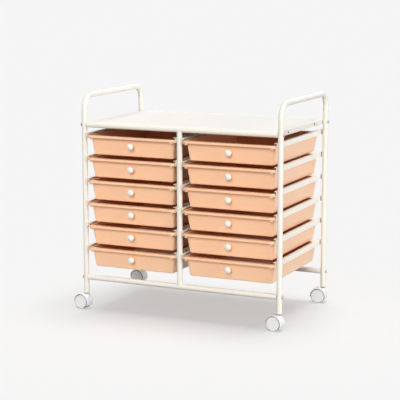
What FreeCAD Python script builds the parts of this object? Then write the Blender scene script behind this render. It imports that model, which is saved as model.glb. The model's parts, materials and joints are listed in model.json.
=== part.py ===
import FreeCAD, Part
import math
import os
import Sketcher

# Rolling drawer cart: bent tube side frames on casters, channels, and two columns of drawers.
# Frame: +X to the right, +Y to the back, +Z up, millimetres. The origin is on the floor, under the
# middle of the cart's box. The casters trail to the left, so the legs stand a little to the right.

SIZES = [
    # Tube frame
    ("tube_dia", 16, "outside diameter of the frame tubes"),
    ("tube_wall", 1.2, "wall of the frame tubes"),
    ("leg_pitch_x", 619, "left leg axis to right leg axis"),
    ("leg_pitch_y", 365, "front leg axis to rear leg axis"),
    ("leg_end_z", 49, "height of the open leg ends"),
    ("low_rail_z", 97, "height of the bottom rail axes"),
    ("top_rail_z", 555, "height of the top rail axes"),
    ("handle_rise", 85, "handle axis above the top rail axes"),
    ("bend_radius", 40, "centreline radius of the handle bends"),
    ("cope_gap", 0.1, "clearance of the saddle cuts of the centre posts"),
    # Bolts, plugs and dowels
    ("fit_gap", 0.05, "radial clearance of plugs, pins, screws and axles"),
    ("hole_gap", 0.3, "radial clearance of plain screw holes"),
    ("bolt_dia", 6, "frame bolt shank"),
    ("bolt_head_dia", 10.5, "frame bolt head"),
    ("bolt_head_tall", 3.3, "frame bolt head height"),
    ("bolt_grip", 12, "depth that a bolt reaches into its plug"),
    ("key_wide", 4.6, "hexagon socket of a bolt, over its corners"),
    ("key_deep", 2, "depth of the hexagon socket"),
    ("plug_long", 18, "length of the plugs in the rails and posts"),
    ("dowel_dia", 8, "dowel on a post plug"),
    ("dowel_long", 8, "length of the dowel on a post plug"),
    # Top panel
    ("board_thick", 15, "top panel thickness"),
    ("board_drop", 0.5, "panel top below the tops of the rails"),
    ("board_gap", 0.3, "panel edge to the rails"),
    ("board_round", 1, "rounding of the panel's top edges"),
    ("strip_tall", 14, "height of the side strips"),
    ("strip_wall", 1.2, "thickness of the side strips"),
    ("strip_reach", 6, "length of a strip past the leg axes"),
    ("screw_pitch", 214, "distance between the two panel screws of a side"),
    ("screw_dia", 3.5, "panel screw shank"),
    ("screw_long", 20, "panel screw length"),
    ("screw_head_dia", 6.5, "panel screw head"),
    ("screw_head_tall", 1.6, "panel screw head height"),
    ("cross_wide", 3.4, "cross recess of a screw, end to end"),
    ("cross_slot", 0.8, "width of a slot of the cross recess"),
    ("cross_deep", 1, "depth of the cross recess"),
    # Channels
    ("runner_drop", 30.5, "middle of the top channels below the top rail axes"),
    ("row_pitch", 67.2, "vertical pitch of the drawers"),
    ("runner_tall", 15, "channel height"),
    ("runner_wall", 1.2, "channel sheet thickness"),
    ("runner_reach", 8.5, "channel depth from its tube"),
    # Drawer trays
    ("slide_gap", 0.1, "rim skirt above the lower flange"),
    ("rim_side_gap", 1.25, "rim to the channel web"),
    ("rim_front_out", 5, "rim front before the leg fronts"),
    ("rim_back_gap", 4, "rim back to the channel stop"),
    ("rim_tall", 6.5, "height of the rim skirt"),
    ("rim_corner", 18, "corner radius of the rim"),
    ("rim_lip_side", 7.3, "rim width beside the tub"),
    ("rim_lip_end", 15, "rim width before and behind the tub"),
    ("tray_wall", 2, "wall of the tray"),
    ("tray_tall", 58.5, "height of the tray"),
    ("tray_draft", 8, "inward lean of the walls over the height"),
    ("tray_corner", 8, "corner radius of the tub"),
    ("tray_edge", 4, "rounding of the bottom edge"),
    ("tab_wide", 9, "width of the tabs under the front rim"),
    ("tab_deep", 5.5, "tab below the rim skirt"),
    ("tab_thick", 2.5, "tab thickness"),
    ("tab_set", 4, "tab behind the front of the rim"),
    ("tab_place", 131, "tab centre from the drawer centre"),
    # Knobs
    ("knob_drop", 25.4, "knob centre below the top of the rim"),
    ("knob_dia", 20, "knob cap"),
    ("knob_long", 21, "knob length from the drawer front"),
    ("knob_foot_dia", 9, "knob foot"),
    ("knob_neck_dia", 7.5, "knob neck"),
    ("knob_bore_deep", 13, "screw hole in the knob"),
    ("pin_dia", 4, "knob screw shank"),
    ("pin_deep", 12, "knob screw in the knob"),
    ("pin_head_dia", 8, "knob screw head"),
    ("pin_head_tall", 2.4, "knob screw head height"),
    # Casters
    ("wheel_dia", 42, "wheel diameter"),
    ("wheel_edge", 2.2, "bevel of the wheel face"),
    ("wheel_wall", 2.5, "face and tread thickness of a wheel"),
    ("wheel_hub_dia", 12, "wheel hub"),
    ("caster_trail", 13, "axle behind the swivel axis"),
    ("caster_wide", 32, "width over both wheel faces"),
    ("axle_dia", 6, "axle pin"),
    ("axle_end_gap", 0.3, "axle end to the bottom of its bore"),
    ("hood_gap", 1.2, "hood to the tread"),
    ("hood_wall", 2.2, "hood thickness"),
    ("hood_wide", 30, "hood width"),
    ("hood_web", 12, "web between the wheels"),
    ("web_gap", 0.4, "web to a wheel"),
    ("hood_round", 1.8, "rounding of the hood edges"),
    ("hood_overrun", 8, "overrun of the cut under the hood"),
    ("boss_dia", 15, "stem boss on the hood"),
    ("boss_z", 45.5, "top of the stem boss"),
    ("stem_dia", 8, "stem in the boss and in the leg"),
    ("stem_sink", 14, "stem depth in the boss"),
    ("stem_rise", 24, "stem above the leg end"),
    ("collar_dia", 10, "stem collar"),
    ("collar_gap", 0.3, "collar above the boss"),
    ("sleeve_long", 28, "sleeve in the leg"),
    ("sleeve_lip", 1, "flange of the sleeve under the leg"),
]

ROWS = 6
COLUMNS = {"left": -1, "right": 1}
ENDS = {"front": -1, "rear": 1}
CASTER_TURN_DEG = {"front_left": -6, "front_right": -4, "rear_right": 5, "rear_left": -3}
HOOD_CUT_FRONT_DEG = 28
HOOD_CUT_TRAIL_DEG = 8

# Knob outline from the neck to the crown: radius share between neck and cap, share of the length.
KNOB_CAP_SHARES = [(0, 0.38), (0.42, 0.43), (0.76, 0.51), (0.95, 0.6), (1, 0.68), (0.98, 0.76), (0.86, 0.85),
                   (0.62, 0.93), (0.3, 0.98)]
KNOB_CROWN_SHARE = 0.3
KNOB_FOOT_SHARE = 0.1

# Flat crown of a screw or bolt head, and the middle of the wheel's rounded edge, as shares.
CROWN_SHARE = 0.32
BEVEL_SHARE = 0.3

# Formulas that several pieces share, in the names of the sheet.
TUBE_R = "tube_dia / 2"
LEG_X = "leg_pitch_x / 2"
LEG_Y = "leg_pitch_y / 2"
HALF_DEPTH = "(leg_pitch_y + tube_dia) / 2"
INNER_X = "(leg_pitch_x - tube_dia) / 2"
HANDLE_Z = "(top_rail_z + handle_rise)"
RUNNER_Z = "(top_rail_z - runner_drop)"
BOARD_TOP = "(top_rail_z + tube_dia / 2 - board_drop)"
BOARD_MID = f"({BOARD_TOP} - board_thick / 2)"
DRAWER_X = "leg_pitch_x / 4"
RIM_X = "(leg_pitch_x / 4 - tube_dia / 2 - runner_wall - rim_side_gap)"
RIM_FRONT = f"({HALF_DEPTH} + rim_front_out)"
RIM_BACK = f"({HALF_DEPTH} - runner_wall - rim_back_gap)"
RIM_Y = f"(({RIM_FRONT} + {RIM_BACK}) / 2)"
TRAY_Y = f"(({RIM_BACK} - {RIM_FRONT}) / 2)"
TRAY_SEAT = "(runner_wall + slide_gap - runner_tall / 2)"
TUB_X = f"({RIM_X} - rim_lip_side)"
TUB_Y = f"({RIM_Y} - rim_lip_end)"
FACE_LEAN = "atan(tray_draft / tray_tall)"
FACE_Y = f"({TUB_Y} - tray_draft * knob_drop / tray_tall)"
FACE_WALL = f"(tray_wall * cos({FACE_LEAN}))"
WHEEL_R = "wheel_dia / 2"
WELL_R = "(wheel_dia / 2 + hood_gap)"
HOOD_R = "(wheel_dia / 2 + hood_gap + hood_wall)"


def hood_reach(corner, away):
    """How far the hood of a turned caster reaches from its stem along X; away is 1 on the trail's side."""
    turn = abs(CASTER_TURN_DEG[corner])
    across = f"(hood_wide / 2 - hood_round) * sin({turn})"
    return f"(({HOOD_R} - hood_round + {away} * caster_trail) * cos({turn}) + {across} + hood_round)"


def wheel_reach(corner, away):
    """How far the wheels of a turned caster reach from its stem along Y; away is 1 on the trail's side."""
    turn = abs(CASTER_TURN_DEG[corner])
    return f"(({WHEEL_R} - wheel_edge + {away} * caster_trail) * sin({turn}) + caster_wide / 2 * cos({turn}))"


# Middle of the legs, from the middle of the box that the turned casters make.
MID_X = f"(({hood_reach('front_left', 1)} - {hood_reach('rear_right', -1)}) / 2)"
MID_Y = f"(({wheel_reach('front_left', -1)} - {wheel_reach('rear_left', 1)}) / 2)"

doc = FreeCAD.newDocument("RollingDrawerCart")
sheet = doc.addObject("Spreadsheet::Sheet", "Sizes")
for line, (alias, value, note) in enumerate(SIZES, 1):
    sheet.set(f"A{line}", note)
    sheet.set(f"B{line}", str(value))
    sheet.setAlias(f"B{line}", alias)
GUESS = {alias: value for alias, value, note in SIZES}
nodes = []


def linked(text):
    """A formula in the names of the sheet, as an expression that reads the sheet."""
    parts = []
    word = ""
    for letter in text + " ":
        if letter.isalnum() or letter == "_":
            word += letter
            continue
        parts.append("Sizes." + word if word in GUESS else word)
        parts.append(letter)
        word = ""
    return "".join(parts).strip()


def bind(item, path, text):
    item.setExpression(path, linked(text))


def place(item, x="0", y="0", z="0"):
    """Places a sub-part, with x and y counted from the middle of the legs."""
    bind(item, "Placement.Base.x", f"{MID_X} + {x}")
    bind(item, "Placement.Base.y", f"{MID_Y} + {y}")
    bind(item, "Placement.Base.z", z)


def new_body(label):
    body = doc.addObject("PartDesign::Body", "Body")
    body.Label = label
    return body


def origin_item(body, role):
    return [item for item in body.Origin.OriginFeatures if item.Role == role][0]


def new_sketch(body, role, x="0", y="0", up="0"):
    """A sketch on an origin plane, moved by x and y in the plane and by up along its normal."""
    sketch = body.newObject("Sketcher::SketchObject", "Sketch")
    sketch.AttachmentSupport = [(origin_item(body, role), "")]
    sketch.MapMode = "FlatFace"
    for axis, text in (("x", x), ("y", y), ("z", up)):
        if text != "0":
            bind(sketch, f"AttachmentOffset.Base.{axis}", text)
    return sketch


def pin_point(sketch, geometry, point, x, y):
    """Fixes one point of a sketch at a formula in x and y."""
    for kind, text, axis in (("DistanceX", x, -2), ("DistanceY", y, -1)):
        if text == "0":
            sketch.addConstraint(Sketcher.Constraint("PointOnObject", geometry, point, axis))
            continue
        index = sketch.addConstraint(Sketcher.Constraint(kind, -1, 1, geometry, point, 1))
        bind(sketch, f"Constraints[{index}]", text)


def polygon(sketch, points):
    """A closed outline whose corners are formulas."""
    first = sketch.GeometryCount
    count = len(points)
    turn = FreeCAD.Rotation(FreeCAD.Vector(0, 0, 1), 360 / count)
    corner = FreeCAD.Vector(1, 0, 0)
    for _ in points:
        following = turn.multVec(corner)
        sketch.addGeometry(Part.LineSegment(corner, following), False)
        corner = following
    for index in range(count):
        after = (index + 1) % count
        sketch.addConstraint(Sketcher.Constraint("Coincident", first + index, 2, first + after, 1))
    for index, (x, y) in enumerate(points):
        pin_point(sketch, first + index, 1, x, y)


def circle(sketch, radius, x="0", y="0"):
    index = sketch.addGeometry(Part.Circle(FreeCAD.Vector(), FreeCAD.Vector(0, 0, 1), 1), False)
    pin_point(sketch, index, 3, x, y)
    row = sketch.addConstraint(Sketcher.Constraint("Radius", index, 1))
    bind(sketch, f"Constraints[{row}]", radius)


def rectangle(sketch, half_x, half_y, y="0"):
    polygon(sketch, [
        (f"-1 * {half_x}", f"{y} - {half_y}"),
        (f"{half_x}", f"{y} - {half_y}"),
        (f"{half_x}", f"{y} + {half_y}"),
        (f"-1 * {half_x}", f"{y} + {half_y}"),
    ])


def rounded_rectangle(sketch, half_x, half_y, radius):
    """Four sides and four tangent corner arcs, about the sketch's origin."""
    guess_x = GUESS["leg_pitch_x"] / 4
    guess_y = GUESS["leg_pitch_y"] / 2
    bend = GUESS["tray_corner"]
    flat = FreeCAD.Vector(0, 0, 1)
    for quarter, (way_x, way_y) in enumerate(((1, 1), (-1, 1), (-1, -1), (1, -1))):
        middle = FreeCAD.Vector(way_x * (guess_x - bend), way_y * (guess_y - bend), 0)
        corner = Part.Circle(middle, flat, bend)
        start = quarter * math.pi / 2
        sketch.addGeometry(Part.ArcOfCircle(corner, start, start + math.pi / 2), False)
    for index in range(4):
        begin = sketch.Geometry[index].EndPoint
        end = sketch.Geometry[(index + 1) % 4].StartPoint
        sketch.addGeometry(Part.LineSegment(begin, end), False)
    for index in range(4):
        sketch.addConstraint(Sketcher.Constraint("Tangent", index, 2, 4 + index, 1))
        sketch.addConstraint(Sketcher.Constraint("Tangent", 4 + index, 2, (index + 1) % 4, 1))
        row = sketch.addConstraint(Sketcher.Constraint("Radius", index, bend))
        bind(sketch, f"Constraints[{row}]", radius)
    for index, kind in ((4, "Horizontal"), (5, "Vertical"), (6, "Horizontal"), (7, "Vertical")):
        sketch.addConstraint(Sketcher.Constraint(kind, index))
    for index, kind, sign, half in ((4, "DistanceY", 1, half_y), (5, "DistanceX", -1, half_x),
                                    (6, "DistanceY", -1, half_y), (7, "DistanceX", 1, half_x)):
        start = guess_y if kind == "DistanceY" else guess_x
        row = sketch.addConstraint(Sketcher.Constraint(kind, -1, 1, index, 1, sign * start))
        bind(sketch, f"Constraints[{row}]", f"{sign} * {half}")


def pad(body, sketch, length, symmetric=False, backward=False):
    feature = body.newObject("PartDesign::Pad", "Pad")
    feature.Profile = sketch
    bind(feature, "Length", length)
    feature.Midplane = symmetric
    feature.Reversed = backward
    return feature


def pocket(body, sketch, depth=None, symmetric=False, backward=False):
    """Cuts against the sketch's normal, or along it if backward; through all without a depth."""
    feature = body.newObject("PartDesign::Pocket", "Pocket")
    feature.Profile = sketch
    feature.Midplane = symmetric
    feature.Reversed = backward
    if depth is None:
        feature.Type = "ThroughAll"
    else:
        bind(feature, "Length", depth)
    return feature


def fillet(body, radius, wanted):
    """Rounds the edges of the body's tip that the test accepts."""
    doc.recompute()
    base = body.Tip
    names = [f"Edge{n}" for n, edge in enumerate(base.Shape.Edges, 1) if wanted(edge)]
    feature = body.newObject("PartDesign::Fillet", "Fillet")
    feature.Base = (base, names)
    bind(feature, "Radius", radius)
    return feature


def turned(label, profile, axis="Z", x="0", up="0"):
    """A turned body: profile is a list of (radius, place along the axis)."""
    body = new_body(label)
    role, line = {"Z": ("XZ_Plane", "V_Axis"), "Y": ("XY_Plane", "V_Axis"), "X": ("XZ_Plane", "H_Axis")}[axis]
    sketch = new_sketch(body, role, x=x, up=up)
    if axis == "X":
        profile = [(along, radius) for radius, along in profile]
    polygon(sketch, profile)
    feature = body.newObject("PartDesign::Revolution", "Revolution")
    feature.Profile = sketch
    feature.ReferenceAxis = (sketch, [line])
    feature.Angle = 360
    return body


def hexagon_socket(body, role, crown, backward):
    """A blind six-sided socket, cut from the crown of a bolt."""
    outline = new_sketch(body, role, up=crown)
    corner = "key_wide / 2"
    polygon(outline, [(f"{corner} * cos({turn})", f"{corner} * sin({turn})") for turn in range(0, 360, 60)])
    return pocket(body, outline, "key_deep", backward=backward)


def cross_recess(body, role, crown, backward):
    """A blind cross, cut from the crown of a screw."""
    outline = new_sketch(body, role, up=crown)
    far = "cross_wide / 2"
    near = "cross_slot / 2"
    quadrant = [(far, near), (near, near), (near, far)]
    points = []
    for way_x, way_y in ((1, 1), (-1, 1), (-1, -1), (1, -1)):
        corner = [(f"{way_x} * {x}", f"{way_y} * {y}") for x, y in quadrant]
        points += corner if way_x == way_y else corner[::-1]
    polygon(outline, points)
    return pocket(body, outline, "cross_deep", backward=backward)


def group(label, members):
    """One node that holds several separate pieces."""
    compound = doc.addObject("Part::Compound", "Group")
    compound.Label = label
    compound.Links = members
    nodes.append(compound)
    return compound


def side_frame(side, sign):
    """Front leg, handle and rear leg: one bent tube with bolt holes."""
    body = new_body(f"side_frame_{side}")
    path = new_sketch(body, "YZ_Plane")
    half = GUESS["leg_pitch_y"] / 2
    bend = GUESS["bend_radius"]
    low = GUESS["leg_end_z"]
    top = GUESS["top_rail_z"] + GUESS["handle_rise"]
    flat = FreeCAD.Vector(0, 0, 1)
    corners = [(-half, low), (-half, top - bend), (bend - half, top),
               (half - bend, top), (half, top - bend), (half, low)]
    spots = [FreeCAD.Vector(y, z, 0) for y, z in corners]
    path.addGeometry(Part.LineSegment(spots[0], spots[1]), False)
    left_bend = Part.Circle(FreeCAD.Vector(bend - half, top - bend, 0), flat, bend)
    path.addGeometry(Part.ArcOfCircle(left_bend, math.pi / 2, math.pi), False)
    path.addGeometry(Part.LineSegment(spots[2], spots[3]), False)
    right_bend = Part.Circle(FreeCAD.Vector(half - bend, top - bend, 0), flat, bend)
    path.addGeometry(Part.ArcOfCircle(right_bend, 0, math.pi / 2), False)
    path.addGeometry(Part.LineSegment(spots[4], spots[5]), False)
    for first, end, second, start in ((0, 2, 1, 2), (1, 1, 2, 1), (2, 2, 3, 2), (3, 1, 4, 1)):
        path.addConstraint(Sketcher.Constraint("Tangent", first, end, second, start))
    for line, kind in ((0, "Vertical"), (2, "Horizontal"), (4, "Vertical")):
        path.addConstraint(Sketcher.Constraint(kind, line))
    for arc in (1, 3):
        row = path.addConstraint(Sketcher.Constraint("Radius", arc, bend))
        bind(path, f"Constraints[{row}]", "bend_radius")
    pin_point(path, 0, 1, f"-1 * {LEG_Y}", "leg_end_z")
    pin_point(path, 4, 2, LEG_Y, "leg_end_z")
    row = path.addConstraint(Sketcher.Constraint("DistanceY", -1, 1, 2, 1, top))
    bind(path, f"Constraints[{row}]", HANDLE_Z)
    section = new_sketch(body, "XY_Plane", up="leg_end_z")
    circle(section, TUBE_R, "0", f"-1 * {LEG_Y}")
    circle(section, f"{TUBE_R} - tube_wall", "0", f"-1 * {LEG_Y}")
    pipe = body.newObject("PartDesign::AdditivePipe", "Pipe")
    pipe.Profile = section
    pipe.Spine = (path, [f"Edge{n}" for n in range(1, 6)])
    holes = new_sketch(body, "YZ_Plane")
    for end in ENDS.values():
        for height in ("low_rail_z", "top_rail_z"):
            circle(holes, "bolt_dia / 2 + hole_gap", f"{end} * {LEG_Y}", height)
    pocket(body, holes, symmetric=True)
    place(body, x=f"{sign} * {LEG_X}")
    nodes.append(body)


def rail(name, height, sign, length, dowel_up):
    """A straight cross tube with one hole for the dowel of a centre post."""
    body = new_body(name)
    section = new_sketch(body, "YZ_Plane")
    circle(section, TUBE_R)
    circle(section, f"{TUBE_R} - tube_wall")
    pad(body, section, length, symmetric=True)
    hole = new_sketch(body, "XY_Plane")
    circle(hole, "dowel_dia / 2 + fit_gap")
    pocket(body, hole, backward=dowel_up)
    place(body, y=f"{sign} * {LEG_Y}", z=height)
    nodes.append(body)


def centre_post(end, sign):
    """A tube between the rails, saddle cut at both ends."""
    body = new_body(f"centre_post_{end}")
    section = new_sketch(body, "XY_Plane", up="low_rail_z")
    circle(section, TUBE_R)
    circle(section, f"{TUBE_R} - tube_wall")
    pad(body, section, "top_rail_z - low_rail_z")
    saddles = new_sketch(body, "YZ_Plane")
    circle(saddles, f"{TUBE_R} + cope_gap", "0", "low_rail_z")
    circle(saddles, f"{TUBE_R} + cope_gap", "0", "top_rail_z")
    pocket(body, saddles, symmetric=True)
    place(body, y=f"{sign} * {LEG_Y}")
    nodes.append(body)


def runners(name, opening, x):
    """Six C-channels with a folded rear end that stops the drawers; opening is their open side."""
    body = new_body(name)
    section = new_sketch(body, "XZ_Plane")
    deep = f"{opening} * runner_reach"
    web = f"{opening} * runner_wall"
    half = "runner_tall / 2"
    polygon(section, [
        ("0", f"-1 * {half}"), (deep, f"-1 * {half}"),
        (deep, f"runner_wall - {half}"), (web, f"runner_wall - {half}"),
        (web, f"{half} - runner_wall"), (deep, f"{half} - runner_wall"),
        (deep, half), ("0", half),
    ])
    channel = pad(body, section, "leg_pitch_y + tube_dia", symmetric=True)
    fold = new_sketch(body, "XZ_Plane", up=f"-1 * {HALF_DEPTH}")
    polygon(fold, [
        ("0", f"-1 * {half}"), (deep, f"-1 * {half}"), (deep, half), ("0", half),
    ])
    stop = pad(body, fold, "runner_wall")
    pattern = body.newObject("PartDesign::LinearPattern", "Rows")
    pattern.Originals = [channel, stop]
    pattern.Direction = (origin_item(body, "Z_Axis"), [""])
    pattern.Reversed = True
    pattern.Occurrences = ROWS
    bind(pattern, "Length", f"row_pitch * {ROWS - 1}")
    body.Tip = pattern
    place(body, x=x, z=RUNNER_Z)
    nodes.append(body)


def top_board():
    body = new_body("top_board")
    outline = new_sketch(body, "XY_Plane")
    half_x = f"({INNER_X} - strip_wall)"
    rectangle(outline, half_x, f"({LEG_Y} - {TUBE_R} - board_gap)")
    pad(body, outline, "board_thick", backward=True)
    for sign in COLUMNS.values():
        holes = new_sketch(body, "YZ_Plane", up=f"{sign} * {half_x}")
        for end in ENDS.values():
            circle(holes, "screw_dia / 2 + fit_gap", f"{end} * screw_pitch / 2", "-1 * board_thick / 2")
        pocket(body, holes, "screw_long - strip_wall + fit_gap", backward=sign < 0)
    fillet(body, "board_round", lambda edge: edge.BoundBox.ZMin > -edge.Tolerance and len(edge.Vertexes) == 2)
    place(body, z=BOARD_TOP)
    nodes.append(body)


def top_strip(side, sign):
    """A flat bar between leg and rail ends that carries the panel."""
    body = new_body(f"top_strip_{side}")
    outline = new_sketch(body, "YZ_Plane")
    rectangle(outline, f"({LEG_Y} + strip_reach)", "strip_tall / 2")
    for end in ENDS.values():
        circle(outline, "bolt_dia / 2 + hole_gap", f"{end} * {LEG_Y}", f"top_rail_z - {BOARD_MID}")
        circle(outline, "screw_dia / 2 + hole_gap", f"{end} * screw_pitch / 2", "0")
    pad(body, outline, "strip_wall", backward=sign > 0)
    place(body, x=f"{sign} * {INNER_X}", z=BOARD_MID)
    return body


def frame_bolt(number, sign, end, height, reach):
    """A button head bolt from outside the leg into a rail plug."""
    head = "bolt_head_dia / 2"
    shank = "bolt_dia / 2"
    seat = f"{sign} * {TUBE_R}"
    tip = f"-{sign} * ({TUBE_R} + {reach} + bolt_grip)"
    crown = f"{sign} * ({TUBE_R} + bolt_head_tall)"
    shoulder = f"{sign} * ({TUBE_R} + bolt_head_tall / 2)"
    body = turned(f"frame_bolt_{number}", [
        ("0", tip), (shank, tip), (shank, seat), (head, seat), (head, shoulder),
        (f"bolt_head_dia * {CROWN_SHARE}", crown), ("0", crown),
    ], axis="X")
    hexagon_socket(body, "YZ_Plane", crown, sign < 0)
    place(body, x=f"{sign} * {LEG_X}", y=f"{end} * {LEG_Y}", z=height)
    return body


def rail_plug(number, sign, end, height, inset):
    """A plug in a rail end, with the bolt's thread as a plain bore."""
    outer = f"{TUBE_R} - tube_wall - fit_gap"
    bore = "bolt_dia / 2 + fit_gap"
    back = f"-{sign} * plug_long"
    body = turned(f"rail_plug_{number}", [("0", back), (outer, back), (outer, "0"), (bore, "0"),
                                          (bore, f"-{sign} * (bolt_grip + hole_gap)"),
                                          ("0", f"-{sign} * (bolt_grip + hole_gap)")], axis="X")
    place(body, x=f"{sign} * ({INNER_X} - {inset})", y=f"{end} * {LEG_Y}", z=height)
    return body


def post_plug(number, end, height, upward):
    """A plug in a post end whose dowel drops into the rail."""
    outer = f"{TUBE_R} - tube_wall - fit_gap"
    dowel = "dowel_dia / 2"
    seat = f"{upward} * ({TUBE_R} + fit_gap)"
    tip = f"{upward} * ({TUBE_R} + fit_gap - dowel_long)"
    back = f"{upward} * ({TUBE_R} + fit_gap + plug_long)"
    body = turned(f"post_plug_{number}", [("0", tip), (dowel, tip), (dowel, seat), (outer, seat),
                                          (outer, back), ("0", back)])
    place(body, y=f"{end} * {LEG_Y}", z=height)
    return body


def board_screw(number, sign, end):
    """A pan head screw through a strip into the panel's edge."""
    shank = "screw_dia / 2"
    head = "screw_head_dia / 2"
    crown = f"{sign} * screw_head_tall"
    tip = f"-{sign} * screw_long"
    body = turned(f"board_screw_{number}", [
        ("0", tip), (shank, f"-{sign} * (screw_long - screw_dia)"), (shank, "0"), (head, "0"),
        (head, f"{sign} * screw_head_tall / 2"), (f"screw_head_dia * {CROWN_SHARE}", crown), ("0", crown),
    ], axis="X")
    cross_recess(body, "YZ_Plane", crown, sign < 0)
    place(body, x=f"{sign} * {INNER_X}", y=f"{end} * screw_pitch / 2", z=BOARD_MID)
    return body


def tray(side, sign, row):
    """A tapered tub under a hollow rim, with two tabs and a knob hole in front."""
    body = new_body(f"drawer_tray_{side}_{row}")
    rim = new_sketch(body, "XY_Plane")
    rounded_rectangle(rim, RIM_X, RIM_Y, "rim_corner")
    pad(body, rim, "rim_tall")
    hollow = new_sketch(body, "XY_Plane")
    rounded_rectangle(hollow, f"({RIM_X} - tray_wall)", f"({RIM_Y} - tray_wall)", "rim_corner - tray_wall")
    pocket(body, hollow, "rim_tall - tray_wall", backward=True)
    tabs = new_sketch(body, "XY_Plane", up="-1 * tab_deep")
    for side_sign in COLUMNS.values():
        near = f"{side_sign} * (tab_place - tab_wide / 2)"
        far = f"{side_sign} * (tab_place + tab_wide / 2)"
        front = f"tab_set - {RIM_Y}"
        back = f"tab_set + tab_thick - {RIM_Y}"
        polygon(tabs, [(near, front), (far, front), (far, back), (near, back)])
    pad(body, tabs, "tab_deep + rim_tall - tray_wall")
    outer = [("rim_tall", "0"), ("rim_tall - tray_tall", "tray_draft")]
    lean = "(tray_draft * (tray_tall - tray_wall) / tray_tall)"
    inner = [("rim_tall", "tray_wall"), ("rim_tall - tray_tall + tray_wall", f"(tray_wall + {lean})")]
    for kind, sections, corner in (("PartDesign::AdditiveLoft", outer, "tray_corner"),
                                   ("PartDesign::SubtractiveLoft", inner, "tray_corner - tray_wall")):
        outlines = []
        for height, inset in sections:
            outline = new_sketch(body, "XY_Plane", up=height)
            rounded_rectangle(outline, f"({TUB_X} - {inset})", f"({TUB_Y} - {inset})", corner)
            outlines.append(outline)
        loft = body.newObject(kind, "Loft")
        loft.Profile = outlines[0]
        loft.Sections = outlines[1:]
        loft.Ruled = True
    hole = new_sketch(body, "XZ_Plane")
    circle(hole, "pin_dia / 2 + hole_gap", "0", "rim_tall - knob_drop")
    pocket(body, hole, backward=True)

    def flat_at(edge, low, high):
        return low < edge.BoundBox.ZMin and edge.BoundBox.ZMax < high

    doc.recompute()
    bottom = body.Tip.Shape.BoundBox.ZMin
    wall = GUESS["tray_wall"]
    middle = bottom + wall / 2
    fillet(body, "tray_edge", lambda edge: flat_at(edge, bottom - wall / 2, middle))
    fillet(body, "tray_edge - tray_wall", lambda edge: flat_at(edge, middle, middle + wall))
    place(body, x=f"{sign} * {DRAWER_X}", y=TRAY_Y, z=f"{RUNNER_Z} - row_pitch * {row - 1} + {TRAY_SEAT}")
    nodes.append(body)


def knob(side, sign, row):
    """A turned knob square to the leaning drawer front, and its screw from inside."""
    neck = "knob_neck_dia / 2"
    foot = "knob_foot_dia / 2"
    grow = "(knob_dia - knob_neck_dia) / 2"
    bore = "pin_dia / 2 + fit_gap"
    outline = [(bore, "0"), (foot, "0"), (foot, f"-1 * knob_long * {KNOB_FOOT_SHARE}"),
               (neck, f"-1 * knob_long * {2 * KNOB_FOOT_SHARE}")]
    for wide_share, long_share in KNOB_CAP_SHARES:
        outline.append((f"{neck} + {grow} * {wide_share}", f"-1 * knob_long * {long_share}"))
    outline.append((f"{neck} * {KNOB_CROWN_SHARE}", "-1 * knob_long"))
    outline += [("0", "-1 * knob_long"), ("0", "-1 * knob_bore_deep"), (bore, "-1 * knob_bore_deep")]
    cap = turned(f"knob_cap_{side}_{row}", outline, axis="Y")
    shank = "pin_dia / 2"
    head = "pin_head_dia / 2"
    under = FACE_WALL
    top = f"{FACE_WALL} + pin_head_tall"
    pin = turned(f"knob_screw_{side}_{row}", [
        ("0", "-1 * pin_deep"), (shank, "-1 * pin_deep"), (shank, under), (head, under),
        (head, f"{FACE_WALL} + pin_head_tall / 2"), (f"pin_head_dia * {CROWN_SHARE}", top), ("0", top),
    ], axis="Y")
    cross_recess(pin, "XZ_Plane", f"-1 * ({top})", True)
    for piece in (cap, pin):
        piece.Placement.Rotation = FreeCAD.Rotation(FreeCAD.Vector(1, 0, 0), 1)
        bind(piece, "Placement.Rotation.Angle", FACE_LEAN)
        place(piece, x=f"{sign} * {DRAWER_X}", y=f"{TRAY_Y} - {FACE_Y}",
              z=f"{RUNNER_Z} - row_pitch * {row - 1} + {TRAY_SEAT} + rim_tall - knob_drop")
    group(f"drawer_knob_{side}_{row}", [cap, pin])


def place_caster(item, side, end):
    """Puts a caster piece under its leg, turned about the stem."""
    turn = CASTER_TURN_DEG[f"{end}_{side}"]
    item.Placement.Rotation = FreeCAD.Rotation(FreeCAD.Vector(0, 0, 1), turn)
    place(item, x=f"{COLUMNS[side]} * {LEG_X}", y=f"{ENDS[end]} * {LEG_Y}")


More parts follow.
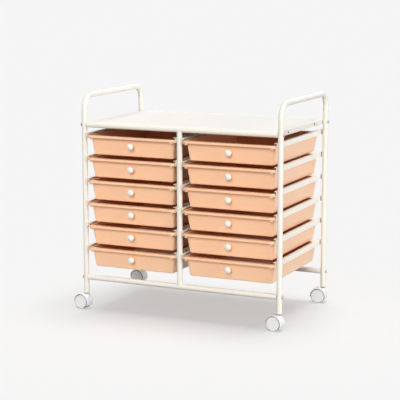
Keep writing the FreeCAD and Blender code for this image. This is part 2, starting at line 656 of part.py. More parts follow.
def caster_hood(side, end):
    """Fenders over both wheels, joined by a web with the axle bore and the stem boss."""
    body = new_body(f"caster_{end}_{side}_hood")
    drum = new_sketch(body, "XZ_Plane")
    circle(drum, HOOD_R, "-1 * caster_trail", WHEEL_R)
    pad(body, drum, "hood_wide", symmetric=True)
    fillet(body, "hood_round", lambda edge: len(edge.Vertexes) == 1)
    boss = new_sketch(body, "XY_Plane", up=WHEEL_R)
    circle(boss, "boss_dia / 2")
    pad(body, boss, f"boss_z - {WHEEL_R}")
    under = new_sketch(body, "XZ_Plane")
    front_x = f"({HOOD_R} * cos({HOOD_CUT_FRONT_DEG}) - caster_trail)"
    front_z = f"({WHEEL_R} - {HOOD_R} * sin({HOOD_CUT_FRONT_DEG}))"
    trail_x = f"(-1 * {HOOD_R} * cos({HOOD_CUT_TRAIL_DEG}) - caster_trail)"
    trail_z = f"({WHEEL_R} - {HOOD_R} * sin({HOOD_CUT_TRAIL_DEG}))"
    polygon(under, [
        (front_x, front_z), (trail_x, trail_z),
        (f"{trail_x} - hood_overrun", trail_z), (f"{trail_x} - hood_overrun", "-1 * hood_overrun"),
        (f"{front_x} + hood_overrun", "-1 * hood_overrun"), (f"{front_x} + hood_overrun", front_z),
    ])
    pocket(body, under, symmetric=True)
    for outward, near in ((True, 1), (False, -1)):
        well = new_sketch(body, "XZ_Plane", up=f"{near} * hood_web / 2")
        circle(well, WELL_R, "-1 * caster_trail", WHEEL_R)
        pocket(body, well, backward=outward)
    axle = new_sketch(body, "XZ_Plane")
    circle(axle, "axle_dia / 2 + fit_gap", "-1 * caster_trail", WHEEL_R)
    pocket(body, axle, symmetric=True)
    stem = new_sketch(body, "XY_Plane", up="boss_z")
    circle(stem, "stem_dia / 2 + fit_gap")
    pocket(body, stem, "stem_sink")
    place_caster(body, side, end)
    nodes.append(body)


def caster_wheel(side, end, name, sign):
    """A cup-shaped wheel with a closed face; sign is the side of the web that it is on."""
    inside = f"{sign} * (hood_web / 2 + web_gap)"
    face = f"{sign} * caster_wide / 2"
    cup = f"{sign} * (caster_wide / 2 - wheel_wall)"
    bore = "axle_dia / 2 + fit_gap"
    bevel = f"wheel_edge * {BEVEL_SHARE}"
    body = turned(f"caster_{end}_{side}_wheel_{name}", [
        (bore, inside), ("wheel_hub_dia / 2", inside), ("wheel_hub_dia / 2", cup),
        (f"{WHEEL_R} - wheel_wall", cup), (f"{WHEEL_R} - wheel_wall", inside), (WHEEL_R, inside),
        (WHEEL_R, f"{sign} * (caster_wide / 2 - wheel_edge)"),
        (f"{WHEEL_R} - {bevel}", f"{sign} * (caster_wide / 2 - {bevel})"),
        (f"{WHEEL_R} - wheel_edge", face), ("0", face), ("0", cup), (bore, cup),
    ], axis="Y", x="-1 * caster_trail", up=WHEEL_R)
    place_caster(body, side, end)
    nodes.append(body)


def caster_axle(side, end):
    reach = "(caster_wide / 2 - wheel_wall - axle_end_gap)"
    radius = "axle_dia / 2"
    body = turned(f"caster_{end}_{side}_axle", [
        ("0", f"-1 * {reach}"), (radius, f"-1 * {reach}"), (radius, reach), ("0", reach),
    ], axis="Y", x="-1 * caster_trail", up=WHEEL_R)
    place_caster(body, side, end)
    nodes.append(body)


def caster_stem(side, end):
    """A steel stem with a collar, held in the leg's sleeve; the hood turns on its lower end."""
    radius = "stem_dia / 2"
    collar = "collar_dia / 2"
    seat = "leg_end_z - sleeve_lip"
    body = turned(f"caster_stem_{end}_{side}", [
        ("0", "boss_z - stem_sink"), (radius, "boss_z - stem_sink"), (radius, "boss_z + collar_gap"),
        (collar, "boss_z + collar_gap"), (collar, seat), (radius, seat),
        (radius, "leg_end_z + stem_rise"), ("0", "leg_end_z + stem_rise"),
    ])
    place_caster(body, side, end)
    return body


def caster_sleeve(side, end):
    """A plastic sleeve in the leg, with a flange under its end."""
    bore = "stem_dia / 2 + fit_gap"
    outer = f"{TUBE_R} - tube_wall - fit_gap"
    body = turned(f"caster_sleeve_{end}_{side}", [
        (bore, "leg_end_z - sleeve_lip"), (TUBE_R, "leg_end_z - sleeve_lip"), (TUBE_R, "leg_end_z"),
        (outer, "leg_end_z"), (outer, "leg_end_z + sleeve_long"), (bore, "leg_end_z + sleeve_long"),
    ])
    place_caster(body, side, end)
    return body


# Tube frame
for side, sign in COLUMNS.items():
    side_frame(side, sign)
    runners(f"runners_{side}", -sign, f"{sign} * {INNER_X}")
    runners(f"runners_centre_{side}", sign, f"{sign} * {TUBE_R}")
for end, sign in ENDS.items():
    rail(f"bottom_rail_{end}", "low_rail_z", sign, "leg_pitch_x - tube_dia", True)
    rail(f"top_rail_{end}", "top_rail_z", sign, "leg_pitch_x - tube_dia - 2 * strip_wall", False)
    centre_post(end, sign)

# Top panel
top_board()
group("top_strips", [top_strip(side, sign) for side, sign in COLUMNS.items()])

# Bolts, plugs and screws
corners = [(side_sign, end_sign) for side_sign in COLUMNS.values() for end_sign in ENDS.values()]
levels = [("low_rail_z", "0"), ("top_rail_z", "strip_wall")]
joints = [(side, end, height, strip) for side, end in corners for height, strip in levels]
group("frame_bolts", [frame_bolt(n, *joint) for n, joint in enumerate(joints, 1)])
group("rail_plugs", [rail_plug(n, *joint) for n, joint in enumerate(joints, 1)])
posts = [(end, height, up) for end in ENDS.values() for height, up in (("low_rail_z", 1), ("top_rail_z", -1))]
group("post_plugs", [post_plug(n, *post) for n, post in enumerate(posts, 1)])
group("board_screws", [board_screw(n, *corner) for n, corner in enumerate(corners, 1)])

# Casters
wheels = [(side, end) for end in ENDS for side in COLUMNS]
group("caster_stems", [caster_stem(side, end) for side, end in wheels])
group("caster_sleeves", [caster_sleeve(side, end) for side, end in wheels])
for side, end in wheels:
    caster_hood(side, end)
    caster_wheel(side, end, "near", -1)
    caster_wheel(side, end, "far", 1)
    caster_axle(side, end)

# Drawers, row 1 at the top
for side, sign in COLUMNS.items():
    for row in range(1, ROWS + 1):
        tray(side, sign, row)
        knob(side, sign, row)

doc.recompute()
for item in doc.Objects:
    if "Invalid" in item.State or "Error" in item.State:
        raise RuntimeError(f"{item.Name} of {item.Label} did not recompute: {item.State}")
for node in nodes:
    if node.Shape.isNull() or not node.Shape.isValid():
        raise RuntimeError(f"{node.Label} has no valid shape")

os.makedirs("parts", exist_ok=True)
for node in nodes:
    node.Shape.exportStep(os.path.join("parts", node.Label + ".step"))
print(len(nodes), "nodes,", sum(len(node.Shape.Solids) for node in nodes), "solids")
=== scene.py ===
"""The looks of the rolling drawer cart: finishes, moulded trays, knobs, wheels, floor and light.

Everything is in metres in the cart's own frame: +X to the right, +Y to the back, +Z up, with the
origin on the floor.
"""

import json
import math

import bmesh
import bpy
from mathutils import Matrix, Vector


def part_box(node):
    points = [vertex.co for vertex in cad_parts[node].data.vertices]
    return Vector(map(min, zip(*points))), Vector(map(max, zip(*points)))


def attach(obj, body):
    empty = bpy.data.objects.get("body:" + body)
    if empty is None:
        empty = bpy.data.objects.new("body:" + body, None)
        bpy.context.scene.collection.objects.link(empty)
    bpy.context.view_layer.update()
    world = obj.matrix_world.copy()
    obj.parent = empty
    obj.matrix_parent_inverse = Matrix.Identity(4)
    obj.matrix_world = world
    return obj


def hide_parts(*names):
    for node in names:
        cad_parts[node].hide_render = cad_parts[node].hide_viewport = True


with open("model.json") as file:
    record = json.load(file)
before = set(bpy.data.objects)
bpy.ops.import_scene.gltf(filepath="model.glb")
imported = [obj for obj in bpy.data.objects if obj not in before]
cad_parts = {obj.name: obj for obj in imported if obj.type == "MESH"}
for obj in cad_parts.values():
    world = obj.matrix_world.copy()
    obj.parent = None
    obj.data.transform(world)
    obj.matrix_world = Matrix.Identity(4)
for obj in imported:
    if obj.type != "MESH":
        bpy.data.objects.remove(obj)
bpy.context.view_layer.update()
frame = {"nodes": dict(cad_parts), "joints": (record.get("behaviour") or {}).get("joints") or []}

ROWS = range(1, 7)
COLUMNS = ("left", "right")
CORNERS = [(end, side) for end in ("front", "rear") for side in COLUMNS]

# Base colours
CREAM = (0.83, 0.785, 0.7)
# The outer channels carry the frame's own cream paint; this lighter copy of it is painted light.
CHANNEL_CREAM_PAINTED_LIGHT = (0.92, 0.875, 0.79)
PANEL = (0.93, 0.906, 0.866)
PEACH = (0.98, 0.588, 0.36)
# The inside of each tray is the same peach plastic, painted darker and redder here as painted shade.
PEACH_PAINTED_SHADE = (0.84, 0.355, 0.16)
KNOB_WHITE = (0.87, 0.83, 0.76)
CASTER_WHITE = (0.84, 0.84, 0.835)
TREAD_GREY = (0.16, 0.16, 0.165)
STEEL = (0.62, 0.61, 0.59)
BOLT_GREY = (0.42, 0.41, 0.4)
# Dark steel and dark plastic, and also the colour of the dark strips of painted shade beside the legs.
DARK_STEEL_AND_SHADE = (0.09, 0.085, 0.08)

# Noise in the finishes, and how far it moves colour and gloss
DRIFT_CELLS = 9.0
DRIFT_DETAIL = 2.0
GRAIN_DETAIL = 3.0
NOISE_LOW = 0.3
NOISE_HIGH = 0.7
COLOUR_SPREAD = 0.015
GLOSS_SPREAD = 0.04

# Shared by the shapes
CORNER_STEPS = 8
ROUND_STEPS = 4
SHARP_DEG = 35

# Tray
WALL = 0.002
RIM_TALL = 0.0065
RIM_CORNER = 0.018
RIM_ROUND = 0.0009
RIM_EDGE = 0.0003
RIM_FILLET = 0.0004
LIP_SIDE = 0.0073
LIP_END = 0.015
LIP_ROUND = 0.0008
TUB_TALL = 0.0585
TUB_LEAN = 0.008
TUB_CORNER = 0.008
TUB_EDGE = 0.004
TUB_FILLET = 0.0006
TUB_STEPS = 6
INSIDE_BANDS = 6
LEAN = math.atan(TUB_LEAN / TUB_TALL)

# Tabs behind the front of a tray's rim
TAB_WIDE = 0.009
TAB_DEEP = 0.0055
TAB_THICK = 0.0025
TAB_SET = 0.004
TAB_PLACE = 0.131
TAB_CORNER = 0.001
TAB_CORNER_STEPS = 3
TAB_ROUND = 0.0007
TAB_ROUND_MIDDLE = 0.0002

# Knob, as radius and place along its axis
KNOB_DROP = 0.0254
KNOB_STEPS = 40
KNOB_SHARP_DEG = 50
KNOB_FOOT_OUTLINE = [
    (0.0045, 0), (0.0045, 0.0018), (0.0041, 0.0029), (0.00375, 0.0042), (0.00375, 0.0066),
]
KNOB_OUTLINE = [
    (0.00375, 0.0066), (0.0042, 0.0076), (0.0054, 0.0086), (0.0070, 0.0097), (0.0084, 0.0110),
    (0.0094, 0.0124), (0.0099, 0.0139), (0.0100, 0.0150), (0.0098, 0.0162), (0.0092, 0.0174),
    (0.0083, 0.0185), (0.0070, 0.0195), (0.0053, 0.0203), (0.0033, 0.0208), (0.0014, 0.0210),
]

# Knob screw, its head as radius and distance from the seat
SCREW_R = 0.002
SCREW_DEEP = 0.012
SCREW_STEPS = 28
SCREW_HEAD_OUTLINE = [
    (0.0038, 0), (0.004, 0.0002), (0.004, 0.0012), (0.0037, 0.001728), (0.003, 0.00216), (0.002, 0.0024),
    (0.0018, 0.0024), (0.0016, 0.0015),
]

# Channels, and the dark strips of painted shade at their ends, where the webs meet the legs
ROW_PITCH = 0.0672
CHANNEL_TALL = 0.015
LEG_WIDE = 0.016
SHADE_STRIP_WIDE = 0.005
SHADE_STRIP_THICK = 0.0003
SHADE_STRIP_SHORT = 0.0005
SHADE_STRIP_CORNER_STEPS = 2

# Wheel and tread, the step in the face as distance in from the tread's seat and depth
WHEEL_R = 0.021
WHEEL_HALF = 0.00475
WHEEL_WALL = 0.0025
WHEEL_HUB_R = 0.006
WHEEL_BORE_R = 0.00305
WHEEL_STEPS = 64
HUB_EDGE = 0.0003
BACK_EDGE = 0.0004
FACE_EDGE = 0.0006
FACE_SET = 0.0004
FACE_STEP = [(0.0016, 0.0001), (0.0021, 0.0004)]
FACE_MIDDLE_R = (0.004, 0.001)
TREAD_TALL = 0.0011
TREAD_EDGE = 0.0008
TREAD_BACK_EDGE = 0.0005

# Camera
CAMERA_PLACE = (1.68230, -3.67160, 1.02010)
CAMERA_YAW_DEG = 24.708
CAMERA_PITCH_DEG = 9.805
CAMERA_FOCAL_PX = 1366.8
IMAGE_PX = 400
SENSOR_MM = 36

# Backdrop, floor and sky
FLOOR_HALF = 60.0
BACKDROP = 0.922
FLOOR_SEEN = 0.91
FLOOR_LIT = 0.35
FLOOR_GLOW = 0.52
GLOW = 0.935
SKY_BRIGHT = 0.27
SKY_DARK = 0.07
SKY_TOWARD = (-0.3, -0.4, 0.7)
SKY_SPAN = 0.8


# Materials

def new_material(name):
    material = bpy.data.materials.new(name)
    material.use_nodes = True
    return material, material.node_tree, material.node_tree.nodes["Principled BSDF"]


def object_noise(tree, cells, detail):
    """Noise in object space, with so many cells in a metre."""
    place = tree.nodes.new("ShaderNodeTexCoord")
    noise = tree.nodes.new("ShaderNodeTexNoise")
    noise.inputs["Scale"].default_value = cells
    noise.inputs["Detail"].default_value = detail
    tree.links.new(place.outputs["Object"], noise.inputs["Vector"])
    return noise.outputs["Fac"]


def ranged(tree, value, low, high):
    """The middle of the noise, spread from low to high."""
    node = tree.nodes.new("ShaderNodeMapRange")
    node.inputs["From Min"].default_value = NOISE_LOW
    node.inputs["From Max"].default_value = NOISE_HIGH
    node.inputs["To Min"].default_value = low
    node.inputs["To Max"].default_value = high
    tree.links.new(value, node.inputs["Value"])
    return node.outputs["Result"]


def tinted(tree, value, dark, light):
    """A colour between two, by a value from 0 to 1."""
    mix = tree.nodes.new("ShaderNodeMix")
    mix.data_type = "RGBA"
    mix.inputs["A"].default_value = (*dark, 1)
    mix.inputs["B"].default_value = (*light, 1)
    tree.links.new(value, mix.inputs["Factor"])
    return mix.outputs["Result"]


def bumped(tree, shader, value, distance):
    bump = tree.nodes.new("ShaderNodeBump")
    bump.inputs["Distance"].default_value = distance
    tree.links.new(value, bump.inputs["Height"])
    tree.links.new(bump.outputs["Normal"], shader.inputs["Normal"])


def shade(colour, factor):
    return tuple(min(1.0, part * factor) for part in colour)


def coated(name, colour, roughness, grain, bump, **constants):
    """Paint, plastic or metal: a colour that drifts a little, with a fine grain in gloss and surface."""
    material, tree, shader = new_material(name)
    for socket, value in constants.items():
        shader.inputs[socket.replace("_", " ")].default_value = value
    drift = object_noise(tree, DRIFT_CELLS, DRIFT_DETAIL)
    colours = tinted(tree, drift, shade(colour, 1 - COLOUR_SPREAD), shade(colour, 1 + COLOUR_SPREAD))
    tree.links.new(colours, shader.inputs["Base Color"])
    fine = object_noise(tree, grain, GRAIN_DETAIL)
    gloss = ranged(tree, fine, roughness - GLOSS_SPREAD, roughness + GLOSS_SPREAD)
    tree.links.new(gloss, shader.inputs["Roughness"])
    bumped(tree, shader, fine, bump)
    return material


paint = coated("powder_coat", CREAM, roughness=0.38, grain=1400.0, bump=0.00003)
# A lighter copy of the frame's cream for the outer channels: painted light.
channel_paint_painted_light = coated("channel_coat_painted_light", CHANNEL_CREAM_PAINTED_LIGHT, roughness=0.38, grain=1400.0, bump=0.00003)
panel_finish = coated("panel_laminate", PANEL, roughness=0.55, grain=700.0, bump=0.00004,
                      Specular_IOR_Level=0.0)
knob_plastic = coated("knob_plastic", KNOB_WHITE, roughness=0.3, grain=500.0, bump=0.00001,
                      Subsurface_Weight=0.6, Subsurface_Scale=0.005, Subsurface_Radius=(1.0, 0.9, 0.8))
caster_plastic = coated("caster_plastic", CASTER_WHITE, roughness=0.33, grain=900.0, bump=0.00002)
# For the dark caster sleeves, and for the dark strips of painted shade beside the legs.
dark_plastic_and_shade = coated("dark_plastic_and_shade", DARK_STEEL_AND_SHADE, roughness=0.5, grain=900.0, bump=0.00002)
tread_rubber = coated("tread_rubber", TREAD_GREY, roughness=0.6, grain=900.0, bump=0.00003)
zinc = coated("zinc_steel", STEEL, roughness=0.35, grain=1600.0, bump=0.00002, Metallic=1.0)
bolt_steel = coated("bolt_steel", BOLT_GREY, roughness=0.4, grain=1600.0, bump=0.00002, Metallic=0.8)
dark_steel = coated("dark_steel", DARK_STEEL_AND_SHADE, roughness=0.4, grain=1600.0, bump=0.00002, Metallic=0.6)
tray_plastic = coated("tray_plastic", PEACH, roughness=0.36, grain=1100.0, bump=0.00003,
                      Coat_Weight=0.7, Coat_Roughness=0.35, Subsurface_Weight=0.25,
                      Subsurface_Scale=0.003, Subsurface_Radius=(1.0, 0.4, 0.2))
# A darker, redder copy of the tray's peach for its inside faces: painted shade.
tray_inside_painted_shade = coated("tray_inside_painted_shade", PEACH_PAINTED_SHADE, roughness=0.45, grain=1100.0, bump=0.00003)


# Mesh helpers

def ring(middle, half_x, half_y, corner, z, steps=CORNER_STEPS):
    """Points of a rounded rectangle, counter-clockwise from above."""
    points = []
    for quarter, (way_x, way_y) in enumerate(((1, 1), (-1, 1), (-1, -1), (1, -1))):
        for step in range(steps + 1):
            turn = (quarter + step / steps) * math.pi / 2
            points.append((middle.x + way_x * (half_x - corner) + corner * math.cos(turn),
                           middle.y + way_y * (half_y - corner) + corner * math.sin(turn), z))
    return points


def loft(mesh, rings):
    """Skins rings of the same number of points, with a face over each end, and gives the faces."""
    rows = [[mesh.verts.new(point) for point in points] for points in rings]
    faces = [mesh.faces.new(list(reversed(rows[0])))]
    for low, high in zip(rows, rows[1:]):
        for index in range(len(low)):
            after = (index + 1) % len(low)
            faces.append(mesh.faces.new((low[index], low[after], high[after], high[index])))
    faces.append(mesh.faces.new(rows[-1]))
    return faces


def arc(radius, start_deg, end_deg, steps):
    """Offsets along and up on an arc about its middle."""
    turns = [math.radians(start_deg + (end_deg - start_deg) * step / steps) for step in range(steps + 1)]
    return [(radius * math.cos(turn), radius * math.sin(turn)) for turn in turns]


def circle(radius, along, steps, matrix):
    """Points of a circle about Z at a place along it, moved by the matrix."""
    turns = [2 * math.pi * step / steps for step in range(steps)]
    return [matrix @ Vector((radius * math.cos(turn), radius * math.sin(turn), along)) for turn in turns]


def spin(mesh, outline, steps, matrix):
    """Turns an outline of (radius, place along +Z) about Z, with a face over each end."""
    loft(mesh, [circle(radius, along, steps, matrix) for radius, along in outline])


def revolve(mesh, section, steps, matrix):
    """Turns a closed section of (radius, place along +Z) about Z."""
    rings = [[mesh.verts.new(point) for point in circle(radius, along, steps, matrix)]
             for radius, along in section]
    for low, high in zip(rings, rings[1:] + rings[:1]):
        for index in range(steps):
            after = (index + 1) % steps
            mesh.faces.new((low[index], low[after], high[after], high[index]))


def soften(piece, sharp_deg):
    """Smooth shading, with flat faces kept flat and edges over the angle kept sharp."""
    piece.data.shade_smooth()
    piece.data.set_sharp_from_angle(angle=math.radians(sharp_deg))
    weighted = piece.modifiers.new("flat_faces", "WEIGHTED_NORMAL")
    weighted.keep_sharp = True


def new_piece(name, mesh, finish, body, nodes, sharp_deg=SHARP_DEG):
    bmesh.ops.recalc_face_normals(mesh, faces=mesh.faces)
    data = bpy.data.meshes.new(name)
    mesh.to_mesh(data)
    mesh.free()
    piece = bpy.data.objects.new(name, data)
    bpy.context.scene.collection.objects.link(piece)
    data.materials.append(finish)
    soften(piece, sharp_deg)
    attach(piece, body)
    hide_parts(*nodes)
    return piece


# Trays

def tray(side, row):
    """A tub with leaning walls under a hollow rim, and two tabs behind the front of the rim."""
    node = f"drawer_tray_{side}_{row}"
    low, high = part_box(node)
    middle = (Vector(low) + Vector(high)) / 2
    rim_x = (high[0] - low[0]) / 2
    rim_y = (high[1] - low[1]) / 2
    top = high[2]

    def rim(inset, down):
        return ring(middle, rim_x - inset, rim_y - inset, RIM_CORNER - inset, top - down)

    def tub(inset, down, lean_down=None):
        lean = TUB_LEAN * (down if lean_down is None else lean_down) / TUB_TALL
        return ring(middle, rim_x - LIP_SIDE - lean - inset, rim_y - LIP_END - lean - inset,
                    TUB_CORNER - inset, top - down)

    lean_deg = math.degrees(LEAN)
    outer_mid = TUB_TALL - TUB_EDGE
    outer_set = TUB_EDGE / math.cos(LEAN)
    inner_edge = TUB_EDGE - WALL
    inner_mid = TUB_TALL - WALL - inner_edge
    inner_set = WALL + inner_edge / math.cos(LEAN)
    rings = []
    for out, up in arc(TUB_EDGE, -90, -lean_deg, TUB_STEPS):
        rings.append(tub(outer_set - out, outer_mid - up, outer_mid))
    rings.append(tub(0, WALL + TUB_FILLET))
    rings.append(tub(-TUB_FILLET, WALL))
    rings.append(rim(WALL + RIM_FILLET, WALL))
    rings.append(rim(WALL, WALL + RIM_FILLET))
    rings.append(rim(WALL, RIM_TALL - RIM_EDGE))
    rings.append(rim(WALL - RIM_EDGE, RIM_TALL))
    rings.append(rim(RIM_EDGE, RIM_TALL))
    rings.append(rim(0, RIM_TALL - RIM_EDGE))
    for out, up in arc(RIM_ROUND, 0, 90, ROUND_STEPS):
        rings.append(rim(RIM_ROUND - out, RIM_ROUND - up))
    for out, up in arc(LIP_ROUND, 90, 180, ROUND_STEPS):
        rings.append(tub(WALL - LIP_ROUND - out, LIP_ROUND - up, 0))
    for out, up in arc(inner_edge, -lean_deg, -90, INSIDE_BANDS - 1):
        rings.append(tub(inner_set - out, inner_mid - up, inner_mid))
    mesh = bmesh.new()
    faces = loft(mesh, rings)
    # The inside walls and floor get the second material, a darker copy of the peach as painted shade.
    for face in faces[-1 - INSIDE_BANDS * len(rings[0]):]:
        face.material_index = 1
    tab_end = RIM_TALL + TAB_DEEP
    tab_outline = [(TAB_ROUND, tab_end), (TAB_ROUND_MIDDLE, tab_end - TAB_ROUND_MIDDLE),
                   (0, tab_end - TAB_ROUND), (0, WALL / 2)]
    for way in (-1, 1):
        spot = Vector((middle.x + way * TAB_PLACE, low[1] + TAB_SET + TAB_THICK / 2, 0))
        loft(mesh, [ring(spot, TAB_WIDE / 2 - inset, TAB_THICK / 2 - inset, TAB_CORNER - inset, top - down,
                         TAB_CORNER_STEPS)
                    for inset, down in tab_outline])
    piece = new_piece(f"tray_{side}_{row}", mesh, tray_plastic, f"drawer_{side}_{row}", [node])
    piece.data.materials.append(tray_inside_painted_shade)


def knob(side, row):
    """A turned knob square to the leaning front, and its screw from inside."""
    node = f"drawer_knob_{side}_{row}"
    body = f"drawer_{side}_{row}"
    low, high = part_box(f"drawer_tray_{side}_{row}")
    foot = Vector(((low[0] + high[0]) / 2, low[1] + LIP_END + TUB_LEAN * KNOB_DROP / TUB_TALL,
                   high[2] - KNOB_DROP))
    outward = Matrix.Translation(foot) @ Matrix.Rotation(LEAN + math.pi / 2, 4, "X")
    mesh = bmesh.new()
    spin(mesh, KNOB_OUTLINE, KNOB_STEPS, outward)
    new_piece(f"knob_{side}_{row}", mesh, knob_plastic, body, [node], KNOB_SHARP_DEG)
    mesh = bmesh.new()
    spin(mesh, KNOB_FOOT_OUTLINE, KNOB_STEPS, outward)
    new_piece(f"knob_foot_{side}_{row}", mesh, tray_plastic, body, [node],
              KNOB_SHARP_DEG)
    seat = -WALL * math.cos(LEAN)
    outline = [(SCREW_R, SCREW_DEEP), (SCREW_R, seat)]
    outline += [(radius, seat - down) for radius, down in SCREW_HEAD_OUTLINE]
    mesh = bmesh.new()
    spin(mesh, outline, SCREW_STEPS, outward)
    new_piece(f"knob_screw_{side}_{row}", mesh, zinc, body, [node])


for side in COLUMNS:
    for row in ROWS:
        tray(side, row)
        knob(side, row)


# Wheels

joints = {joint["name"]: joint for joint in frame["joints"]}


def wheel(end, side, name, way):
    """A cup-shaped wheel with a shallow face, and the grey tread round it, on the axis of its joint."""
    node = f"caster_{end}_{side}_wheel_{name}"
    joint = joints[f"caster_{end}_{side}_{name}_spin"]
    axis = Vector(joint["axis"]).normalized() * way
    turned = Matrix.Translation(Vector(joint["pos_m"])) @ axis.to_track_quat("Z", "Y").to_matrix().to_4x4()
    half = WHEEL_HALF
    cup = half - WHEEL_WALL
    inside = WHEEL_R - WHEEL_WALL
    seat = WHEEL_R - TREAD_TALL
    outline = [(WHEEL_BORE_R, cup), (WHEEL_BORE_R, -half), (WHEEL_HUB_R - HUB_EDGE, -half),
               (WHEEL_HUB_R, HUB_EDGE - half), (WHEEL_HUB_R, cup), (inside, cup),
               (inside, BACK_EDGE - half), (inside + BACK_EDGE, -half), (seat, -half)]
    for out, up in arc(FACE_EDGE, 0, 90, ROUND_STEPS):
        outline.append((seat - FACE_EDGE + out, half - FACE_EDGE + up))
    outline += [(seat - inward, half - depth) for inward, depth in FACE_STEP]
    outline += [(radius, half - FACE_SET) for radius in FACE_MIDDLE_R]
    mesh = bmesh.new()
    spin(mesh, outline, WHEEL_STEPS, turned)
    new_piece(f"wheel_{end}_{side}_{name}", mesh, caster_plastic, node, [node])
    low = BACK_EDGE - half
    high = half - FACE_EDGE
    section = [(seat, low), (WHEEL_R - TREAD_BACK_EDGE, low), (WHEEL_R, low + TREAD_BACK_EDGE)]
    for out, up in arc(TREAD_EDGE, 0, 90, ROUND_STEPS):
        section.append((WHEEL_R - TREAD_EDGE + out, high - TREAD_EDGE + up))
    section.append((seat, high))
    mesh = bmesh.new()
    revolve(mesh, section, WHEEL_STEPS, turned)
    new_piece(f"tread_{end}_{side}_{name}", mesh, tread_rubber, node, [node])


for end, side in CORNERS:
    wheel(end, side, "near", -1)
    wheel(end, side, "far", 1)


# Painted shade at the ends of the outer channels

def crevice_shade_strips(side, way):
    """Thin dark strips of painted shade where the channels' webs meet the legs, standing in for the
    crevice shadow there.
    """
    low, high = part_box(f"runners_{side}")
    face = high[0] if way > 0 else low[0]
    mesh = bmesh.new()
    for row in ROWS:
        top = high[2] - ROW_PITCH * (row - 1)
        for end, leg in ((low[1], 1), (high[1], -1)):
            middle = Vector((face, end + leg * (LEG_WIDE + SHADE_STRIP_WIDE / 2), 0))
            loft(mesh, [ring(middle, SHADE_STRIP_THICK, SHADE_STRIP_WIDE / 2, SHADE_STRIP_THICK / 2, top - down,
                             SHADE_STRIP_CORNER_STEPS)
                        for down in (CHANNEL_TALL - SHADE_STRIP_SHORT, SHADE_STRIP_SHORT)])
    # A dark piece put where there is only shade: painted crevice shadow beside each leg.
    new_piece(f"seams_{side}", mesh, dark_plastic_and_shade, "frame", [])


for side, way in (("left", -1), ("right", 1)):
    crevice_shade_strips(side, way)


# Finishes of the nodes that stay

FINISHES = [
    (paint, ["side_frame_left", "side_frame_right", "runners_centre_left", "runners_centre_right",
             "centre_post_front", "centre_post_rear", "top_rail_front", "top_rail_rear",
             "bottom_rail_front", "bottom_rail_rear", "top_strips"]),
    # The outer channels get the lighter copy of the cream, as painted light.
    (channel_paint_painted_light, ["runners_left", "runners_right"]),
    (panel_finish, ["top_board"]),
    (bolt_steel, ["frame_bolts"]),
    (caster_plastic, ["rail_plugs", "post_plugs"]),
    (caster_plastic, [f"caster_{end}_{side}_hood" for end, side in CORNERS]),
    (dark_plastic_and_shade, ["caster_sleeves"]),
    (dark_steel, ["board_screws", "caster_stems"]),
    (dark_steel, [f"caster_{end}_{side}_axle" for end, side in CORNERS]),
]

for finish, nodes in FINISHES:
    for node in nodes:
        frame["nodes"][node].data.materials.clear()
        frame["nodes"][node].data.materials.append(finish)


# Floor and light

def backdrop_rays(tree):
    """One for rays that show the backdrop, from the camera or by way of gloss or glass."""
    path = tree.nodes.new("ShaderNodeLightPath")
    rays = path.outputs["Is Camera Ray"]
    for other in ("Is Glossy Ray", "Is Transmission Ray"):
        either = tree.nodes.new("ShaderNodeMath")
        either.operation = "MAXIMUM"
        tree.links.new(rays, either.inputs[0])
        tree.links.new(path.outputs[other], either.inputs[1])
        rays = either.outputs[0]
    return rays


floor_material, floor_tree, floor_shader = new_material("floor")
floor_rays = backdrop_rays(floor_tree)
floor_colour = tinted(floor_tree, floor_rays, (FLOOR_LIT,) * 3, (FLOOR_SEEN,) * 3)
floor_tree.links.new(floor_colour, floor_shader.inputs["Base Color"])
floor_shader.inputs["Roughness"].default_value = 1.0
floor_shader.inputs["Specular IOR Level"].default_value = 0.0
glow = floor_tree.nodes.new("ShaderNodeEmission")
glow.inputs["Color"].default_value = (GLOW, GLOW, GLOW, 1)
share = floor_tree.nodes.new("ShaderNodeMath")
share.operation = "MULTIPLY"
share.inputs[1].default_value = FLOOR_GLOW
floor_tree.links.new(floor_rays, share.inputs[0])
floor_mix = floor_tree.nodes.new("ShaderNodeMixShader")
floor_tree.links.new(share.outputs[0], floor_mix.inputs[0])
floor_tree.links.new(floor_shader.outputs[0], floor_mix.inputs[1])
floor_tree.links.new(glow.outputs[0], floor_mix.inputs[2])
floor_tree.links.new(floor_mix.outputs[0], floor_tree.nodes["Material Output"].inputs["Surface"])
bpy.ops.mesh.primitive_plane_add(size=2 * FLOOR_HALF)
floor = bpy.context.object
floor.name = "floor"
floor.data.materials.append(floor_material)

world = bpy.data.worlds.new("studio")
bpy.context.scene.world = world
world.use_nodes = True
sky_tree = world.node_tree
lighting = sky_tree.nodes["Background"]
lighting.inputs["Color"].default_value = (1, 1, 1, 1)
sky_place = sky_tree.nodes.new("ShaderNodeTexCoord")
toward = sky_tree.nodes.new("ShaderNodeVectorMath")
toward.operation = "DOT_PRODUCT"
toward.inputs[1].default_value = SKY_TOWARD
sky_tree.links.new(sky_place.outputs["Generated"], toward.inputs[0])
sky_level = sky_tree.nodes.new("ShaderNodeMapRange")
sky_level.inputs["From Min"].default_value = -SKY_SPAN
sky_level.inputs["From Max"].default_value = SKY_SPAN
sky_level.inputs["To Min"].default_value = SKY_DARK
sky_level.inputs["To Max"].default_value = SKY_BRIGHT
sky_tree.links.new(toward.outputs["Value"], sky_level.inputs["Value"])
sky_tree.links.new(sky_level.outputs["Result"], lighting.inputs["Strength"])
backdrop = sky_tree.nodes.new("ShaderNodeBackground")
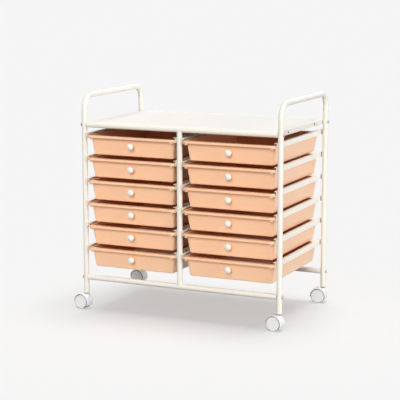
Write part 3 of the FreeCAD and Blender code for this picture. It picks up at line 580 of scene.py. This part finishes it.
backdrop.inputs["Color"].default_value = (BACKDROP, BACKDROP, BACKDROP, 1)
sky_mix = sky_tree.nodes.new("ShaderNodeMixShader")
sky_tree.links.new(backdrop_rays(sky_tree), sky_mix.inputs[0])
sky_tree.links.new(lighting.outputs[0], sky_mix.inputs[1])
sky_tree.links.new(backdrop.outputs[0], sky_mix.inputs[2])
sky_tree.links.new(sky_mix.outputs[0], sky_tree.nodes["World Output"].inputs["Surface"])


def floor_link(name, state):
    """A light link that takes in the floor alone, or everything but the floor."""
    group = bpy.data.collections.new(name)
    group.objects.link(floor)
    group.collection_objects[0].light_linking.link_state = state
    return group


on_floor = floor_link("on_floor", "INCLUDE")
off_floor = floor_link("off_floor", "EXCLUDE")


def sun(name, toward, spread_deg, power, receivers=off_floor):
    """A soft distant light that shines along toward, on its receivers."""
    data = bpy.data.lights.new(name, "SUN")
    data.angle = math.radians(spread_deg)
    data.energy = power
    lamp = bpy.data.objects.new(name, data)
    lamp.rotation_euler = Vector(toward).to_track_quat("-Z", "Y").to_euler()
    bpy.context.scene.collection.objects.link(lamp)
    lamp.light_linking.receiver_collection = receivers


sun("key", toward=(0.3, -0.1, -1.0), spread_deg=36, power=0.78)
sun("overhead", toward=(-0.05, -0.15, -1.0), spread_deg=36, power=2.4, receivers=on_floor)
sun("front", toward=(-0.2, 1.0, -0.44), spread_deg=26, power=2.1)
sun("side", toward=(-1.0, 0.15, -0.25), spread_deg=36, power=2.0)
sun("back", toward=(0.1, -1.0, -0.6), spread_deg=24, power=0.8)


# Camera

camera_data = bpy.data.cameras.new("camera")
camera_data.sensor_width = SENSOR_MM
camera_data.lens = CAMERA_FOCAL_PX * SENSOR_MM / IMAGE_PX
camera = bpy.data.objects.new("camera", camera_data)
camera.location = CAMERA_PLACE
camera.rotation_euler = (math.radians(90 - CAMERA_PITCH_DEG), 0, math.radians(CAMERA_YAW_DEG))
bpy.context.scene.collection.objects.link(camera)
bpy.context.scene.camera = camera
bpy.context.scene.view_settings.view_transform = "Standard"
